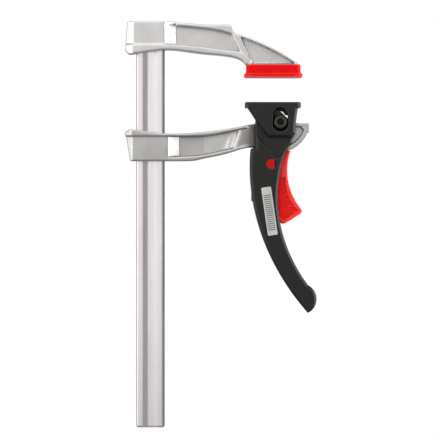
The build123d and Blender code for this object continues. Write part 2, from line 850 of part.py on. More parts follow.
# ================================================================== pressure plate
plate_mid = -0.3
plate_length = jaw_length + 1.2
cheek_foot = slab_under - plate_cheek_height
slot_low = pivot_z - slot_below_pivot

with BuildSketch(Plane.XZ) as plate_cheek_side:
    with BuildLine():
        Polyline(
            (plate_mid - plate_length / 2 + plate_inset, slab_under),
            (-12.8, slab_under - 9.2),
            (-8.4, slab_under - 15.8),
            (-3.6, cheek_foot),
            (13.2, cheek_foot),
            (16.2, slab_under - 18.8),
            (16.6, slab_under - 12.1),
            (17.3, slab_under - 5.5),
            (plate_mid + plate_length / 2 - plate_inset, slab_under),
            close=True,
        )
    make_face()
    foot_corners = [v for v in plate_cheek_side.vertices() if v.Y < cheek_foot + 4]
    fillet(foot_corners, 2.4)

with BuildPart() as pressure_plate:
    from_both_sides(plate_cheek_side.sketch, plate_half_depth - plate_cheek, plate_half_depth)
    outer_edges = [
        e
        for e in pressure_plate.edges()
        if abs(abs(e.center().Y) - plate_half_depth) < 0.01 and e.center().Z < slab_under - 0.1
    ]
    chamfer(outer_edges, cheek_bevel)
    with BuildSketch(Plane.XY.offset(slab_under)):
        with Locations((plate_mid, 0)):
            RectangleRounded(plate_length, jaw_depth, cap_corner)
    extrude(amount=plate_slab)
    fillet(pressure_plate.edges().group_by(Axis.Z)[-1], plate_edge_round)
    # upright slots for the lever's hubs
    with BuildSketch(Plane.XZ):
        with Locations((pivot_x, (slab_under + slot_low) / 2)):
            SlotOverall(slab_under - slot_low, 2 * slot_radius, rotation=90)
    extrude(amount=jaw_depth, both=True, mode=Mode.SUBTRACT)
    # notched rib, clear of the bolt when the plate is down
    with BuildSketch(Plane.XZ):
        with Locations((pivot_x, slab_under - hub_radius / 2)):
            Rectangle(2 * plate_rib_half, hub_radius)
        with Locations((pivot_x, pivot_z + plate_drop)):
            Circle(bolt_radius + side_gap, mode=Mode.SUBTRACT)
    extrude(amount=plate_rib / 2, both=True)
write(pressure_plate.part, "pressure_plate")

# ================================================================== pivot bolt and nut
bolt_seat = hub_out + running_gap
nut_seat = hub_out - nut_sink + running_gap
hex_corner = hex_socket / 2 / cos(radians(30))

with BuildPart() as pivot_bolt:
    with BuildSketch(Plane.XZ.offset(bolt_seat)):
        with Locations(pivot):
            Circle(bolt_head_radius)
    extrude(amount=bolt_head_height)
    chamfer(pivot_bolt.edges().sort_by(Axis.Y)[0], 0.3)
    with BuildSketch(Plane.XZ.offset(bolt_seat)):
        with Locations(pivot):
            Circle(bolt_radius)
    extrude(amount=-(bolt_seat + nut_seat + nut_grip))
    with BuildSketch(Plane.XZ.offset(bolt_seat + bolt_head_height)):
        with Locations(pivot):
            RegularPolygon(hex_corner, 6)
    extrude(amount=-hex_socket_depth, mode=Mode.SUBTRACT)
write(pivot_bolt.part, "pivot_bolt")

with BuildPart() as pivot_nut:
    with BuildSketch(Plane.XZ.offset(-nut_seat)):
        with Locations(pivot):
            Circle(bolt_head_radius)
    extrude(amount=-nut_height)
    chamfer(pivot_nut.edges().sort_by(Axis.Y)[-1], 0.3)
    with BuildSketch(Plane.XZ.offset(-nut_seat)):
        with Locations(pivot):
            Circle(bolt_radius + running_gap)
    extrude(amount=-(nut_grip + 0.1), mode=Mode.SUBTRACT)
    with BuildSketch(Plane.XZ.offset(-(nut_seat + nut_height))):
        with Locations(pivot):
            RegularPolygon(hex_corner, 6)
    extrude(amount=nut_socket_depth, mode=Mode.SUBTRACT)
write(pivot_nut.part, "pivot_nut")

# ================================================================== trigger
trigger_top = ratchet_radius + 0.5  # its top edge follows the arm's rim
trigger_left, trigger_low = trigger_pivot


def about_trigger(x, z):
    return (trigger_left + x, trigger_low + z)


with BuildSketch(Plane.XZ) as trigger_side:
    with BuildLine():
        ThreePointArc(polar(trigger_top, -69.5), polar(trigger_top, -75), polar(trigger_top, -80))
        Line(polar(trigger_top, -80), about_trigger(0.8, 5.2))
        ThreePointArc(about_trigger(0.8, 5.2), about_trigger(-5.3, 0), about_trigger(-0.6, -5.3))
        Spline(
            about_trigger(-0.6, -5.3),
            about_trigger(1.4, -11.1),
            about_trigger(0.9, -24.1),
            about_trigger(3.9, -40.1),
            about_trigger(7.4, -43.8),
        )
        Polyline(
            about_trigger(7.4, -43.8),
            about_trigger(9.2, -44.1),
            about_trigger(13.6, -41.6),
            about_trigger(22.1, -36.1),
            about_trigger(22.6, -34.2),
            about_trigger(21.8, -33.0),
        )
        ThreePointArc(about_trigger(21.8, -33.0), about_trigger(11.8, -6.6), polar(trigger_top, -69.5))
    make_face()

# sunk panel on each face, inside a raised rim
with BuildSketch(Plane.XZ) as trigger_panel:
    with BuildLine():
        ThreePointArc(about_trigger(10.1, -9.5), about_trigger(11.5, -20.5), about_trigger(19.6, -34.2))
        Polyline(
            about_trigger(19.6, -34.2),
            about_trigger(9.0, -41.6),
            about_trigger(5.8, -38.9),
        )
        ThreePointArc(about_trigger(5.8, -38.9), about_trigger(3.6, -24.0), about_trigger(4.0, -9.5))
        Line(about_trigger(4.0, -9.5), about_trigger(10.1, -9.5))
    make_face()

with BuildPart() as trigger:
    extrude(trigger_side.sketch, amount=trigger_half, both=True)
    chamfer(trigger.faces().filter_by(Axis.Y).edges(), trigger_bevel)
    from_both_sides(trigger_panel.sketch, trigger_half - trigger_recess, casting_half, Mode.SUBTRACT)
    # bosses that turn in the lever's windows, each with a flat
    with BuildSketch(Plane.XZ):
        with Locations(trigger_pivot):
            Circle(window_radius - running_gap)
        with Locations(about_trigger(boss_flat + window_radius, 0)):
            Rectangle(2 * window_radius, 3 * window_radius, mode=Mode.SUBTRACT)
    extrude(amount=boss_out, both=True)
    # pawl that drops into the ratchet's track
    with BuildSketch(Plane.XZ):
        with BuildLine():
            Polyline(
                polar(ratchet_tip + pawl_gap, -75.5),
                polar(trigger_top + 0.4, -73),
                polar(trigger_top + 0.4, -78),
                close=True,
            )
        make_face()
    extrude(amount=ratchet_track_half - pawl_gap, both=True)
    # pocket for the far end of the spring
    with BuildSketch(Plane.YZ.offset(spring_pocket)):
        with Locations((0, seat_z)):
            Circle(spring_radius + spring_wire)
    extrude(amount=-casting_depth, mode=Mode.SUBTRACT)
write(trigger.part, "trigger")

with BuildPart() as trigger_spring:
    coil_from = seat_face + spring_wire / 2 + cam_gap
    coil_length = spring_pocket - seat_face - spring_wire - 2 * cam_gap
    with BuildLine() as coil:
        Helix(
            coil_length / spring_turns,
            coil_length,
            spring_radius,
            center=(coil_from, 0, seat_z),
            direction=(1, 0, 0),
        )
    with BuildSketch(Plane(origin=coil.line @ 0, z_dir=coil.line % 0)):
        Circle(spring_wire / 2)
    sweep()
write(trigger_spring.part, "trigger_spring")
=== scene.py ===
"""Quick release bar clamp: cast and moulded skins round the CAD frame, their finishes, and the studio."""

import math

import bpy
import numpy as np
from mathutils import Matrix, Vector
from mathutils.bvhtree import BVHTree


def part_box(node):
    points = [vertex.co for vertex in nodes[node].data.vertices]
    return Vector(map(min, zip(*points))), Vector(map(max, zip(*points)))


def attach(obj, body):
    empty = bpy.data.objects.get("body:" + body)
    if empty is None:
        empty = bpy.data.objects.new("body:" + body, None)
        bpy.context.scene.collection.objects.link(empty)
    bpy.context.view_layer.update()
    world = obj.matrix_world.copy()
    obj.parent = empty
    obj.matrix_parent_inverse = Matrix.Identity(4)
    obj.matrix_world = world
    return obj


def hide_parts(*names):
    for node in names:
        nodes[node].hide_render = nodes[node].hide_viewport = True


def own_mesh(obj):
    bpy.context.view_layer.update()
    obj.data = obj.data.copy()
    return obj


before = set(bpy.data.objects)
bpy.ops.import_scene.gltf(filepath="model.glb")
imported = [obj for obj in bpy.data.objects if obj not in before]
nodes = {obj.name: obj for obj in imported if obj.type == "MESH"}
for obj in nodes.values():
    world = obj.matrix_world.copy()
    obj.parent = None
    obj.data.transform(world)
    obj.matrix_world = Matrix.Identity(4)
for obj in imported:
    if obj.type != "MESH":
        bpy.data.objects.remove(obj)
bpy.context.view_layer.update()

MM = 0.001


# ---------------------------------------------------------------- camera

CAMERA_PLACE = (-0.0392, -2.41, -0.1051)
LENS = 267.2  # mm: a long lens, for a nearly flat view
SENSOR_WIDTH = 36.0  # mm

camera = bpy.data.objects.new("camera", bpy.data.cameras.new("camera"))
camera.data.lens = LENS
camera.data.sensor_width = SENSOR_WIDTH
camera.data.sensor_fit = "HORIZONTAL"
camera.data.clip_start = 10 * MM
camera.location = CAMERA_PLACE
camera.rotation_euler = (math.radians(90), 0, 0)
bpy.context.scene.collection.objects.link(camera)
bpy.context.scene.camera = camera


# ---------------------------------------------------------------- what the finishes are made with


def linear(code):
    """An sRGB hex colour turned to linear light, with alpha."""
    parts = [int(code[i : i + 2], 16) / 255 for i in (1, 3, 5)]
    return (*(c / 12.92 if c <= 0.04045 else ((c + 0.055) / 1.055) ** 2.4 for c in parts), 1.0)


def add(tree, kind, inputs=(), out=0, **settings):
    """Adds one node with its settings, and gives one of its outputs.

    inputs is a list of the first ones or a dict by number or name, each a value or a socket to link."""
    node = tree.nodes.new("ShaderNode" + kind)
    for name, value in settings.items():
        setattr(node, name, value)
    for name, value in (inputs if isinstance(inputs, dict) else dict(enumerate(inputs))).items():
        if isinstance(value, bpy.types.NodeSocket):
            tree.links.new(value, node.inputs[name])
        else:
            node.inputs[name].default_value = value
    return node.outputs[out] if len(node.outputs) else None


MOST = (0.3, 0.7)  # nearly all of a noise's values lie between these
COLOUR = {"out": 2, "data_type": "RGBA"}  # for a mix of two colours: its output and its setting


def new_finish(name):
    """An empty material, with the piece's own coordinates."""
    material = bpy.data.materials.new(name)
    material.use_nodes = True
    tree = material.node_tree
    tree.nodes.clear()
    return material, tree, add(tree, "TexCoord", out="Object")


def finished(material, surface):
    """The material, once its shader is set as surface says."""
    tree = material.node_tree
    add(tree, "OutputMaterial", {"Surface": add(tree, "BsdfPrincipled", surface)})
    return material


def speckle(tree, place, size, detail=2.0, stretch=(1, 1, 1)):
    """Even grey noise whose grains are about size metres across, drawn out along an axis by stretch."""
    finer = tuple(1 / (size * s) for s in stretch)
    scaled = add(tree, "VectorMath", [place, finer], operation="MULTIPLY")
    return add(tree, "TexNoise", {"Vector": scaled, "Scale": 1.0, "Detail": detail, "Roughness": 0.55})


def mottled(tree, pattern, deep, pale):
    """A colour that wanders between two hex colours as a pattern does."""
    share = add(tree, "MapRange", [pattern, *MOST, 0, 1])
    return add(tree, "Mix", {0: share, 6: linear(deep), 7: linear(pale)}, **COLOUR)


def edge_wear_and_highlight(tree, skin, paler, share):
    """skin, paler by up to share along the outward edges, as each piece keeps them on its vertices: partly
    wear, partly painted highlight.
    """
    edge = add(tree, "Attribute", out="Fac", attribute_name="edge", attribute_type="GEOMETRY")
    edge_paling = add(tree, "MapRange", [edge, 0, 1, 0, share])
    return add(tree, "Mix", {0: edge_paling, 6: skin, 7: linear(paler)}, **COLOUR)


OPEN_SKY = (0.4, 0.9)  # from a deep nook to open surface, as shares of the sky that a point sees


def nook_shade_mask(tree, reach, share):
    """How far the surface is shut in by others within reach metres: 0 in the open, share deep in a nook. The
    finishes darken by it, which is painted shade.
    """
    sky = add(tree, "AmbientOcclusion", {"Distance": reach}, "AO", samples=8)
    return add(tree, "MapRange", [sky, *OPEN_SKY, share, 0])


def from_middle(tree, place):
    """The distance from the plane that parts the clamp's front from its rear."""
    return add(tree, "Math", [add(tree, "SeparateXYZ", [place], "Y")], operation="ABSOLUTE")


def parting_line(tree, place):
    """1 on the thin line that the two halves of a mould leave round the middle of a piece, 0 beside it."""
    return add(tree, "MapRange", [from_middle(tree, place), 0.08 * MM, 0.28 * MM, 1, 0])


# ---------------------------------------------------------------- finishes


def cast_alloy(name, deep, pale, nook_shade_share, painted_shade=None):
    """Die-cast light alloy, tumbled with fine stones: an even satin skin, paler along its edges, partly
    rubbed and partly as painted highlight, and painted darker in its nooks as painted shade.

    The last argument, if given, holds four values of X: a painted shade and reflection on the arm thickens
    from the first to the second, near the pivot, and thins out from the third to the fourth."""
    material, tree, place = new_finish(name)
    clouds = speckle(tree, place, 14 * MM)
    grain = speckle(tree, place, 1.2 * MM, detail=3.0)  # the real grain is finer: coarsened to show
    skin = edge_wear_and_highlight(tree, mottled(tree, clouds, deep, pale), "#E9E8E6", 0.7)
    if painted_shade:
        # painted shade and reflection: the arm darkens towards the pivot and clears again past it
        along = add(tree, "SeparateXYZ", [place], "X")
        shade_rises = add(tree, "MapRange", [along, *painted_shade[:2], 0, 0.6])
        shade_fades = add(tree, "MapRange", [along, *painted_shade[2:], 1, 0])
        head_shade = add(tree, "Math", [shade_rises, shade_fades], operation="MULTIPLY")
        skin = add(tree, "Mix", {0: head_shade, 6: skin, 7: linear("#5E5653")}, **COLOUR)
    # painted shade: the colour darkens to a dark grey where others shut the surface in
    nook_shade = nook_shade_mask(tree, 2.5 * MM, nook_shade_share)
    satin = add(tree, "Bump", {"Height": grain, "Distance": 0.04 * MM})
    seam = {"Height": parting_line(tree, place), "Distance": 0.08 * MM, "Normal": satin}
    surface = {
        "Base Color": add(tree, "Mix", {0: nook_shade, 6: skin, 7: linear("#55524F")}, **COLOUR),
        "Metallic": 1.0,
        "Roughness": add(tree, "MapRange", [grain, *MOST, 0.36, 0.46]),
        "Normal": add(tree, "Bump", seam),
    }
    return finished(material, surface)


def drawn_steel():
    """Cold-drawn bright steel bar: lengthwise lines from the die, a satin sheen, and narrow edges painted
    darker as painted shade.
    """
    material, tree, place = new_finish("cold_drawn_steel")
    # real die lines are finer: coarsened to show
    lines = speckle(tree, place, 0.9 * MM, detail=3.0, stretch=(1, 1, 60))
    clouds = speckle(tree, place, 12 * MM, stretch=(1, 1, 4))
    colour = mottled(tree, clouds, "#DED8DA", "#E4DEE0")
    across = add(tree, "SeparateXYZ", [place], "X")
    low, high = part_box("rail")
    # painted shade: both narrow edges are painted darker
    outer = add(tree, "MapRange", [across, low.x + 0.5 * MM, low.x + 1.0 * MM, 1, 0])
    inner = add(tree, "MapRange", [across, high.x - 1.5 * MM, high.x - 1.0 * MM, 0, 1])
    edge_shaded = add(tree, "Mix", {0: outer, 6: colour, 7: linear("#837E7B")}, **COLOUR)
    painted_shade = {0: inner, 6: edge_shaded, 7: linear("#534E4B")}  # the inner edge, where the arm bears, painted darker still: painted shade
    surface = {
        "Base Color": add(tree, "Mix", painted_shade, **COLOUR),
        "Metallic": 1.0,
        "Roughness": add(tree, "MapRange", [lines, *MOST, 0.22, 0.29]),
        "Normal": add(tree, "Bump", {"Height": lines, "Distance": 0.005 * MM}),
    }
    return finished(material, surface)


def moulded_nylon():
    """Glass-filled nylon moulded in a spark-eroded tool: near black, with a fine matt grain.

    Its corners are painted darker and less shiny, as painted shade."""
    material, tree, place = new_finish("glass_filled_nylon")
    grain = speckle(tree, place, 1.0 * MM)  # the tool's real pits are finer: coarsened to show
    clouds = speckle(tree, place, 11 * MM)
    skin = edge_wear_and_highlight(tree, mottled(tree, clouds, "#0F0F0D", "#141311"), "#43423F", 0.6)
    # painted shade: darker and less shiny where others shut the surface in
    nylon_nook_shade = nook_shade_mask(tree, 3.5 * MM, 1)
    matt = add(tree, "Bump", {"Height": grain, "Distance": 0.05 * MM})
    seam = {"Height": parting_line(tree, place), "Distance": 0.06 * MM, "Normal": matt}
    surface = {
        "Base Color": add(tree, "Mix", {0: nylon_nook_shade, 6: skin, 7: linear("#040404")}, **COLOUR),
        "Specular IOR Level": add(tree, "MapRange", [nylon_nook_shade, 0, 1, 0.31, 0.05]),
        "Roughness": add(tree, "MapRange", [grain, *MOST, 0.32, 0.44]),
        "Normal": add(tree, "Bump", seam),
    }
    return finished(material, surface)


def red_moulding(name, deep, bright, gloss, shine, nook_shade_share, paled_from=None):
    """Red moulded plastic with a slightly polished skin; its edges are paler, partly from wear and partly as
    painted highlight, and its nooks are painted darker as painted shade.

    Past the distance from the mid-plane that the last argument gives, the whole face is painted paler, partly
    as handling wear and partly as painted highlight, as far as the bosses, which are painted dark in their
    windows as painted shade."""
    material, tree, place = new_finish(name)
    grain = speckle(tree, place, 1.3 * MM, detail=1.0)  # the real skin's is finer: coarsened to show
    clouds = speckle(tree, place, 9 * MM)
    skin = edge_wear_and_highlight(tree, mottled(tree, clouds, deep, bright), "#FF7468", 0.7)
    if paled_from:
        off = from_middle(tree, place)
        # the face painted paler, partly handling wear and partly painted highlight
        face = add(tree, "MapRange", [off, paled_from, paled_from + 0.3 * MM, 0, 0.5])
        near = add(tree, "MapRange", [off, paled_from + 0.7 * MM, paled_from + 0.9 * MM, 1, 0])
        handled_and_highlit = add(tree, "Math", [face, near], operation="MULTIPLY")
        skin = add(tree, "Mix", {0: handled_and_highlit, 6: skin, 7: linear("#FA3E36")}, **COLOUR)
        # painted shade: the bosses are painted dark in the lever's windows
        window_shade = add(tree, "MapRange", [near, 0, 1, 0.6, 0])
        skin = add(tree, "Mix", {0: window_shade, 6: skin, 7: linear("#7A0606")}, **COLOUR)
    # painted shade in the nooks
    nook_shade = nook_shade_mask(tree, 4 * MM, nook_shade_share)
    surface = {
        "Base Color": add(tree, "Mix", {0: nook_shade, 6: skin, 7: linear("#7A0606")}, **COLOUR),
        "Specular IOR Level": shine,
        "Roughness": add(tree, "MapRange", [grain, *MOST, *gloss]),
        "Normal": add(tree, "Bump", {"Height": grain, "Distance": 0.03 * MM}),
    }
    return finished(material, surface)


def ground_steel():
    """Hardened steel, ground: bright, with a close roundabout grain."""
    material, tree, place = new_finish("ground_hardened_steel")
    # real grinding marks are finer: coarsened to show
    grain = speckle(tree, place, 0.6 * MM, detail=3.0, stretch=(1, 8, 1))
    surface = {
        "Base Color": mottled(tree, grain, "#A9A8A6", "#C2C1BF"),
        "Metallic": 1.0,
        "Roughness": add(tree, "MapRange", [grain, *MOST, 0.22, 0.38]),
        "Normal": add(tree, "Bump", {"Height": grain, "Distance": 0.01 * MM}),
    }
    return finished(material, surface)


def black_oxide():
    """Socket-head steel, blackened in hot salts and oiled: dark, with a faint soft shine.

    Everything further back than a little way below the bolt's face, its socket, the sides of its head and the
    nut, is painted near black as painted shade."""
    material, tree, place = new_finish("blackened_steel_oiled")
    grain = speckle(tree, place, 0.8 * MM, detail=3.0)  # the real oxide's is finer: coarsened to show
    metal = mottled(tree, grain, "#403E3B", "#4C4A47")
    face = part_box("pivot_bolt")[0].y
    depth = add(tree, "SeparateXYZ", [place], "Y")
    # painted shade: near black behind the bolt's face
    socket_shade = add(tree, "MapRange", [depth, face + 0.15 * MM, face + 0.7 * MM, 0, 0.9])
    surface = {
        "Base Color": add(tree, "Mix", {0: socket_shade, 6: metal, 7: linear("#0E0D0C")}, **COLOUR),
        "Metallic": 0.9,
        "Roughness": add(tree, "MapRange", [grain, *MOST, 0.28, 0.42]),
        "Normal": add(tree, "Bump", {"Height": grain, "Distance": 0.02 * MM}),
    }
    return finished(material, surface)


LABEL_TOP = (-5.43 * MM, -81.0 * MM)  # X and Z of the middle of the label's upper end
LABEL_LENGTH = 35.6 * MM
LABEL_WIDTH = 7.3 * MM
LABEL_TILT = math.radians(8.2)  # the grip leans this much where the label sits
LABEL_DOWN = (math.sin(LABEL_TILT), -math.cos(LABEL_TILT))
LABEL_ACROSS = (math.cos(LABEL_TILT), math.sin(LABEL_TILT))
BLANK_ABOVE = 5.2 * MM  # bare film above the printed rules, and then below and beside them
BLANK_BELOW = 3.6 * MM
BLANK_BESIDE = 0.8 * MM
RULE_PITCH = 1.5 * MM
RULE_WIDTH = 0.7 * MM
INK_EDGE = 0.05 * MM  # the ink fades over this much on either side of its edge


def label_film():
    """Pale matt polyester label, a little scuffed, printed with even grey rules that leave blank margins."""
    material, tree, place = new_finish("printed_polyester_film")
    top = (LABEL_TOP[0], 0, LABEL_TOP[1])
    from_top = add(tree, "VectorMath", [place, top], operation="SUBTRACT")
    down, aside = (
        add(tree, "VectorMath", [from_top, (way[0], 0, way[1])], "Value", operation="DOT_PRODUCT")
        for way in (LABEL_DOWN, LABEL_ACROSS)
    )
    off_rule = add(tree, "Math", [down, RULE_PITCH / 2], operation="PINGPONG")
    half = RULE_WIDTH / 2
    ink = add(tree, "MapRange", [off_rule, half - INK_EDGE, half + INK_EDGE, 1, 0])
    below_top = add(tree, "Math", [down, BLANK_ABOVE], operation="SUBTRACT")
    above_end = add(tree, "Math", [LABEL_LENGTH - BLANK_BELOW, down], operation="SUBTRACT")
    aside = add(tree, "Math", [aside], operation="ABSOLUTE")
    in_side = add(tree, "Math", [LABEL_WIDTH / 2 - BLANK_BESIDE, aside], operation="SUBTRACT")
    inside = add(tree, "Math", [below_top, above_end], operation="MINIMUM")
    inside = add(tree, "Math", [inside, in_side], operation="MINIMUM")
    printed = add(tree, "MapRange", [inside, 0, 2 * INK_EDGE, 0, 1])
    scuffs = speckle(tree, place, 1.1 * MM, detail=4.0)
    clouds = speckle(tree, place, 7 * MM)
    left_on = add(tree, "MapRange", [scuffs, 0.35, 0.5, 0.65, 1])  # the ink that scuffing leaves
    for share in (printed, left_on):
        ink = add(tree, "Math", [ink, share], operation="MULTIPLY")
    film = mottled(tree, clouds, "#A5A3A1", "#B3B1AF")
    surface = {
        "Base Color": add(tree, "Mix", {0: ink, 6: film, 7: linear("#4A4A48")}, **COLOUR),
        "Roughness": add(tree, "MapRange", [scuffs, *MOST, 0.38, 0.56]),
        "Normal": add(tree, "Bump", {"Height": scuffs, "Distance": 0.01 * MM}),
    }
    return finished(material, surface)


HEAD_SHADE_SPAN = (-24 * MM, -17 * MM, 4 * MM, 9 * MM)  # X along the arm, from its shoulder to past the pivot: where the arm is painted darker, as painted shade and reflection
TRIGGER_FACE = 6.2 * MM  # from the mid-plane, where the face starts to be painted paler: handling wear and painted highlight

jaw_alloy = cast_alloy("tumbled_die_cast_alloy", "#CAC8C6", "#D4D2D0", 0.35)
# the arm's alloy is the jaw's, painted darker and with deeper painted shade in its nooks, standing in for
# weaker light lower down
shaded_arm_alloy = cast_alloy("tumbled_die_cast_alloy_shaded", "#B2B0AE", "#C0BEBC", 0.8, HEAD_SHADE_SPAN)
steel = drawn_steel()
nylon = moulded_nylon()
cap_red = red_moulding("soft_red_vinyl", "#C90406", "#D1070A", (0.28, 0.38), 0.07, 0.3)
trigger_red = red_moulding(
    "red_filled_nylon", "#D00607", "#DC0C0D", (0.32, 0.44), 0.15, 0.6, TRIGGER_FACE
)
pin_steel = ground_steel()
oxide = black_oxide()
film = label_film()


# ---------------------------------------------------------------- pieces


def piece_of(mesh, name):
    """An object that holds a mesh, in the scene."""
    piece = bpy.data.objects.new(name, mesh)
    bpy.context.scene.collection.objects.link(piece)
    return piece


def read(mesh, kind, name, width, dtype=np.float32):
    """One property of all of a mesh's vertices or edges, as a table with width columns."""
    rows = getattr(mesh, kind)
    values = np.empty(len(rows) * width, dtype)
    rows.foreach_get(name, values)
    return values.reshape(-1, width)


def centres(points, ends):
    """The middle of each point's neighbours along the edges."""
    count = np.bincount(ends.ravel(), minlength=len(points)).clip(1)
    around = [
        np.bincount(ends[:, 0], points[ends[:, 1], axis], len(points))
        + np.bincount(ends[:, 1], points[ends[:, 0], axis], len(points))
        for axis in range(3)
    ]
    return np.stack(around, 1) / count[:, None]


CRISP_ROUNDS = 5  # roundings that even a crisp part is given


def even_out(mesh, rounds, crisp_from):
    """Rounds edges by moving points towards their neighbours, less so past the X of crisp_from."""
    points = read(mesh, "vertices", "co", 3).astype(float)
    ends = read(mesh, "edges", "vertices", 2, np.int32)
    soft = points[:, 0] < crisp_from
    for turn in range(rounds):
        moved = soft if turn >= CRISP_ROUNDS else slice(None)
        points[moved] = 0.5 * points[moved] + 0.5 * centres(points, ends)[moved]
    mesh.vertices.foreach_set("co", points.astype(np.float32).ravel())
    mesh.update()


def bend_of(mesh):
    """Each vertex's bend: above 0 on an outward edge, below 0 in an inward corner, about 0 on a flat face."""
    points = read(mesh, "vertices", "co", 3).astype(float)
    ends = read(mesh, "edges", "vertices", 2, np.int32)
    normals = np.empty(len(points) * 3, np.float32)
    mesh.vertex_normals.foreach_get("vector", normals)
    count = np.bincount(ends.ravel(), minlength=len(points)).clip(1)
    length = np.linalg.norm(points[ends[:, 0]] - points[ends[:, 1]], axis=1).mean()
    bend = ((points - centres(points, ends)) * normals.reshape(-1, 3)).sum(1) / length
    for _ in range(3):  # passed on to the neighbours, so that a paler edge, worn and painted as highlight, has some width
        near = np.bincount(ends[:, 0], bend[ends[:, 1]], len(points))
        near += np.bincount(ends[:, 1], bend[ends[:, 0]], len(points))
        bend = 0.4 * bend + 0.6 * near / count
    return bend


FLAT_BEND = 0.02  # a face bends this much at most
EDGE_BEND = 0.10  # further, and it is all edge


def skin_of(node, name, grid, rounds, faces, finish, body, slot, joined=None, crisp_from=1.0):
    """A copy of a CAD node with its edges softened as casting or moulding leaves them.

    grid is the size of the squares it is remeshed with, rounds how many times they are evened out, faces how
    many triangles are kept, and joined the points and faces of a solid that is cast in one with it. Past the
    X of crisp_from only a few roundings are made."""
    piece = piece_of(nodes[node].data.copy(), name)
    piece.data.materials.clear()
    if joined:
        own = [tuple(v.co) for v in piece.data.vertices]
        rings = [tuple(p.vertices) for p in piece.data.polygons]
        rings += [tuple(i + len(own) for i in face) for face in joined[1]]
        piece.data = bpy.data.meshes.new(name)
        piece.data.from_pydata(own + joined[0], [], rings)

    def settle():
        """Applies the modifiers."""
        graph = bpy.context.evaluated_depsgraph_get()
        mesh = bpy.data.meshes.new_from_object(piece.evaluated_get(graph), depsgraph=graph)
        piece.modifiers.clear()
        piece.data = mesh
        return mesh

    weld = piece.modifiers.new("weld", "WELD")
    weld.merge_threshold = 0.001 * MM
    remesh = piece.modifiers.new("remesh", "REMESH")
    remesh.mode = "VOXEL"
    remesh.voxel_size = grid * 1
    mesh = settle()
    even_out(mesh, rounds, crisp_from)

    edge = ((bend_of(mesh) - FLAT_BEND) / EDGE_BEND).clip(0, 1).astype(np.float32)
    mesh.attributes.new("edge", "FLOAT", "POINT").data.foreach_set("value", edge)

    triangles = 2 * len(mesh.polygons)
    if triangles > faces:
        thin = piece.modifiers.new("thin", "DECIMATE")
        thin.ratio = faces / triangles
    even = piece.modifiers.new("even", "WEIGHTED_NORMAL")
    even.keep_sharp = False
    mesh = settle()
    mesh.name = name
    mesh.materials.clear()
    mesh.materials.append(finish)
    mesh.polygons.foreach_set("use_smooth", [True] * len(mesh.polygons))
    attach(piece, body)
    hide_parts(node)


# ---------------------------------------------------------------- shoulders on the sliding arm

SHOULDER_PLAN = (  # X and distance from the mid-plane, in mm: along the web, over the crest, to the head
    (-52, 2.3),
    (-34, 5.4),
    (-32.8, 6.1),
    (-29.2, 7.0),
    (-26.4, 9.1),
    (-24.5, 9.4),
    (-12.6, 6.6),
)
HEAD_START = -12.6  # X in mm, where the shoulders run into the head
SHOULDER_LEAN = 0.32  # to the right, going up, in full between the second pair of these two
LEAN_COMES = (-38, -33)
LEAN_GOES = (-26, HEAD_START)
FEELING_FACE = 5.2  # mm from the mid-plane, through the flanges and the head
FLANGE_BITE = 0.8  # mm that the shoulders stay inside the flanges' outer faces
BITE_GOES = (-25, -20)  # X in mm
LEAST_BITE = 0.1
SHOULDER_INSIDE = 0.8  # mm from the mid-plane, well inside the web
COLUMN_STEP = 0.3  # mm
POINTS_UP = 24


def ramp(values, start, end):
    """0 at start, 1 at end, eased at both, held beyond."""
    share = ((values - start) / (end - start)).clip(0, 1)
    return share * share * (3 - 2 * share)


def quads(grid):
    """Faces over a grid of point numbers."""
    return [
        (grid[i, j], grid[i + 1, j], grid[i + 1, j + 1], grid[i, j + 1])
        for i in range(grid.shape[0] - 1)
        for j in range(grid.shape[1] - 1)
    ]


def shoulders():
    """Solids swelling the sliding arm's web, front and rear, into a slanting shoulder that falls to the head.

    They reach from the lower to the upper flange, whose places are felt for from outside the arm."""
    mesh = nodes["sliding_arm"].data
    arm = BVHTree.FromPolygons([v.co for v in mesh.vertices], [p.vertices for p in mesh.polygons])
    columns = np.arange(SHOULDER_PLAN[0][0], HEAD_START, COLUMN_STEP)
    shares = np.linspace(0, 1, POINTS_UP)
    points, faces = [], []
    for side in (-1, 1):
        start = len(points)
        for column in columns:
            feel = (column * MM, side * FEELING_FACE * MM)
            bite = FLANGE_BITE * (1 - ramp(column, *BITE_GOES)) + LEAST_BITE
            top = arm.ray_cast((*feel, 100 * MM), (0, 0, -1))[0].z / MM - bite
            low = arm.ray_cast((*feel, -200 * MM), (0, 0, 1))[0].z / MM + bite
            face = np.interp(column, *zip(*SHOULDER_PLAN))
            lean = SHOULDER_LEAN * ramp(column, *LEAN_COMES) * (1 - ramp(column, *LEAN_GOES))
            for z in low + (top - low) * shares:
                x = column + lean * (z - (top + low) / 2)
                points.append((x * MM, side * face * MM, z * MM))
                points.append((x * MM, side * SHOULDER_INSIDE * MM, z * MM))
        grid = start + 2 * np.arange(len(columns) * POINTS_UP).reshape(len(columns), POINTS_UP)
        outer = quads(grid)
        inner = [tuple(i + 1 for i in face[::-1]) for face in outer]
        rim = np.concatenate([grid[:, 0], grid[-1, 1:], grid[-2::-1, -1], grid[0, -2:0:-1]])
        wall = [(b, a, a + 1, b + 1) for a, b in zip(rim, np.roll(rim, -1))]
        shell = outer + inner + wall
        faces += [tuple(int(i) for i in (f if side < 0 else f[::-1])) for f in shell]
    return points, faces


# ---------------------------------------------------------------- skins

